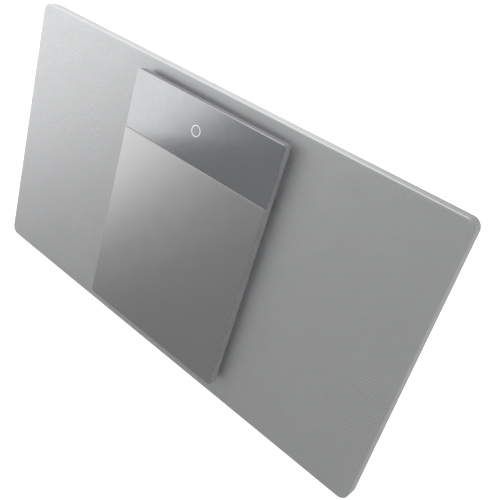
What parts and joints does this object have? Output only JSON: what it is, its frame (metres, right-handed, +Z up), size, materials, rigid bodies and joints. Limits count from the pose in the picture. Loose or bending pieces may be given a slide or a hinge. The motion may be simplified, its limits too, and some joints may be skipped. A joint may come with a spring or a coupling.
{
  "type": "mini hifi system",
  "caption": "Slim one-piece disc player and speaker set: a wide perforated panel with a proud sliding cover over its disc bay, a shallow rear cabinet, top keys and a low foot.",
  "frame": {"origin": "on the table, under the middle of the set's overall width and depth", "axes": "+X along the panel to the listener's right, +Z up, the front panel faces -Y"},
  "size_m": [0.4, 0.107, 0.223],
  "materials": {
    "painted_silver": "satin silver paint",
    "perforated_sheet": "fine perforated, satin",
    "cover_satin": "satin silver with a soft sheen",
    "smoked_window": "polished smoked plastic",
    "mark_print": "printed",
    "black_cloth": "acoustic cloth",
    "dark_moulding": "fine textured moulding",
    "black_board": "black stained board",
    "rubber": "matt",
    "zinc_steel": "zinc plated sheet",
    "polished_rod": "ground",
    "black_screw": "black oxide",
    "circuit_board": "solder mask",
    "display_glass": "dark display glass",
    "nylon": "natural moulded",
    "paper_cone": "pressed paper pulp",
    "ferrite": "ground ferrite and plated steel",
    "ferrite_core": "taped winding",
    "capacitor_sleeve": "shrink sleeve",
    "black_anodised": "black anodised",
    "tinned_steel": "tinned",
    "socket_plastic": "moulded",
    "nickel": "nickel plated",
    "lens_glass": "polished",
    "cable_film": "flat flexible cable",
    "grey_moulding": "satin grey moulding",
    "key_plastic": "painted keys"
  },
  "bodies": {
    "cabinet": {"front_frame": "painted_silver", "speaker_grille": "perforated_sheet", "grille_cloth": "black_cloth", "baffle_board": "black_board", "rear_cabinet": "dark_moulding", "stand_base": "dark_moulding", "rubber_feet": "rubber", "disc_bay": "grey_moulding", "slide_rails": "zinc_steel", "lcd_panel": "display_glass", "display_board": "circuit_board", "cd_chassis": "zinc_steel", "chassis_dampers": "rubber", "spindle_motor": "zinc_steel", "guide_rods": "polished_rod", "sled_motor": "zinc_steel", "door_motor": "nylon", "main_board": "circuit_board", "power_board": "circuit_board", "power_transformer": "ferrite_core", "filter_capacitors": "capacitor_sleeve", "heat_sink": "black_anodised", "tuner_shield": "tinned_steel", "key_board": "circuit_board", "ac_inlet": "socket_plastic", "antenna_socket": "nickel", "aux_jack": "socket_plastic", "ribbon_cable": "cable_film", "woofer_frame_left": "dark_moulding", "woofer_frame_right": "dark_moulding", "woofer_magnet_left": "ferrite", "woofer_magnet_right": "ferrite", "woofer_surround_left": "rubber", "woofer_surround_right": "rubber", "bass_port_left": "dark_moulding", "bass_port_right": "dark_moulding", "case_screws": "black_screw", "woofer_screws": "black_screw"},
    "sliding_cover": {"cover_panel": "cover_satin", "display_window": "smoked_window", "cover_back_plate": "grey_moulding", "cover_runners": "polished_rod", "cover_rack": "nylon", "window_ring": "mark_print"},
    "slide_carriage": {"slide_carriage": "zinc_steel"},
    "drive_pinion": {"drive_pinion": "nylon"},
    "turntable": {"turntable": "dark_moulding", "spindle_shaft": "polished_rod", "clamp_balls": "polished_rod"},
    "optical_sled": {"optical_sled": "dark_moulding", "focus_lens": "lens_glass"},
    "feed_screw": {"feed_screw": "polished_rod"},
    "cone_left": {"woofer_cone_left": "paper_cone"},
    "cone_right": {"woofer_cone_right": "paper_cone"},
    "key_power": {"key_power": "key_plastic"},
    "key_source": {"key_source": "key_plastic"},
    "key_volume_down": {"key_volume_down": "key_plastic"},
    "key_volume_up": {"key_volume_up": "key_plastic"},
    "key_play": {"key_play": "key_plastic"},
    "key_open": {"key_open": "key_plastic"}
  },
  "joints": [
    {"name": "cover_slide", "type": "slide", "parent": "cabinet", "child": "sliding_cover", "axis": [1, 0, 0], "range_m": [0, 0.126]},
    {"name": "carriage_slide", "type": "slide", "parent": "cabinet", "child": "slide_carriage", "axis": [1, 0, 0], "range_m": [0, 0.063]},
    {"name": "pinion_spin", "type": "hinge", "parent": "cabinet", "child": "drive_pinion", "pos_m": [0.063, -0.0425, 0.1535], "axis": [0, 1, 0], "range_deg": [-1, 1446]},
    {"name": "turntable_spin", "type": "hinge", "parent": "cabinet", "child": "turntable", "pos_m": [-0.0025, -0.0425, 0.0945], "axis": [0, 1, 0], "continuous": true},
    {"name": "sled_slide", "type": "slide", "parent": "cabinet", "child": "optical_sled", "axis": [1, 0, 0], "range_m": [0, 0.03]},
    {"name": "screw_spin", "type": "hinge", "parent": "cabinet", "child": "feed_screw", "pos_m": [0.03, -0.0295, 0.0725], "axis": [1, 0, 0], "range_deg": [-1, 3602]},
    {"name": "cone_left_stroke", "type": "slide", "parent": "cabinet", "child": "cone_left", "axis": [0, -1, 0], "range_m": [-0.002, 0.002], "stiffness_N_per_m": 1200},
    {"name": "cone_right_stroke", "type": "slide", "parent": "cabinet", "child": "cone_right", "axis": [0, -1, 0], "range_m": [-0.002, 0.002], "stiffness_N_per_m": 1200},
    {"name": "key_power_press", "type": "slide", "parent": "cabinet", "child": "key_power", "axis": [0, 0, -1], "range_m": [0, 0.0006], "stiffness_N_per_m": 500, "springref_m": -0.001},
    {"name": "key_source_press", "type": "slide", "parent": "cabinet", "child": "key_source", "axis": [0, 0, -1], "range_m": [0, 0.0006], "stiffness_N_per_m": 500, "springref_m": -0.001},
    {"name": "key_volume_down_press", "type": "slide", "parent": "cabinet", "child": "key_volume_down", "axis": [0, 0, -1], "range_m": [0, 0.0006], "stiffness_N_per_m": 500, "springref_m": -0.001},
    {"name": "key_volume_up_press", "type": "slide", "parent": "cabinet", "child": "key_volume_up", "axis": [0, 0, -1], "range_m": [0, 0.0006], "stiffness_N_per_m": 500, "springref_m": -0.001},
    {"name": "key_play_press", "type": "slide", "parent": "cabinet", "child": "key_play", "axis": [0, 0, -1], "range_m": [0, 0.0006], "stiffness_N_per_m": 500, "springref_m": -0.001},
    {"name": "key_open_press", "type": "slide", "parent": "cabinet", "child": "key_open", "axis": [0, 0, -1], "range_m": [0, 0.0006], "stiffness_N_per_m": 500, "springref_m": -0.001}
  ],
  "couplings": [
    {"joint": "carriage_slide", "follows": "cover_slide", "ratio": 0.5},
    {"joint": "pinion_spin", "follows": "cover_slide", "rad_per_m": 200},
    {"joint": "screw_spin", "follows": "sled_slide", "rad_per_m": 2094.4}
  ]
}
